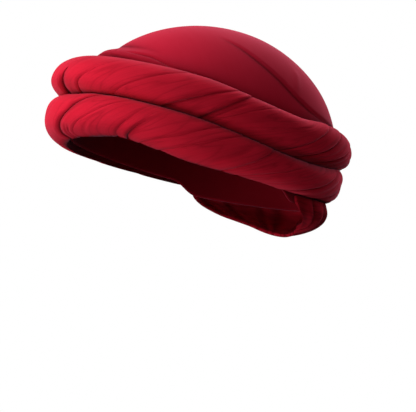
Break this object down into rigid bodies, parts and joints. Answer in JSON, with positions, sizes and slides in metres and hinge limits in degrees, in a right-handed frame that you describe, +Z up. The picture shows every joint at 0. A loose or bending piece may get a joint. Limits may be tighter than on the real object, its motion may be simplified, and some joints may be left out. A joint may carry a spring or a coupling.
{
  "type": "tied turban",
  "caption": "Close-fitting stretch-cloth turban: a smooth crown cap with twisted rolls round the brow and a gathered drape over the nape, kept in its worn form.",
  "frame": {"origin": "centre of the head opening, on the middle plane of the lower roll, where the turban sits round the brow", "axes": "+Z up as worn, -Y the way the wearer faces, +X the wearer's left; the rolls' plane is tilted 16 degrees, high at the brow"},
  "size_m": [0.1868, 0.2251, 0.1524],
  "materials": {
    "crown_cloth": "smooth red stretch cloth, pulled tight, with a faint sheen",
    "roll_cloth": "red stretch cloth twisted into a soft roll, with deep shaded pleats",
    "nape_cloth": "red stretch cloth in loose gathers"
  },
  "bodies": {
    "root": {"crown_cap": "crown_cloth", "upper_roll": "roll_cloth", "lower_roll": "roll_cloth", "nape_drape": "nape_cloth"}
  },
  "joints": []
}
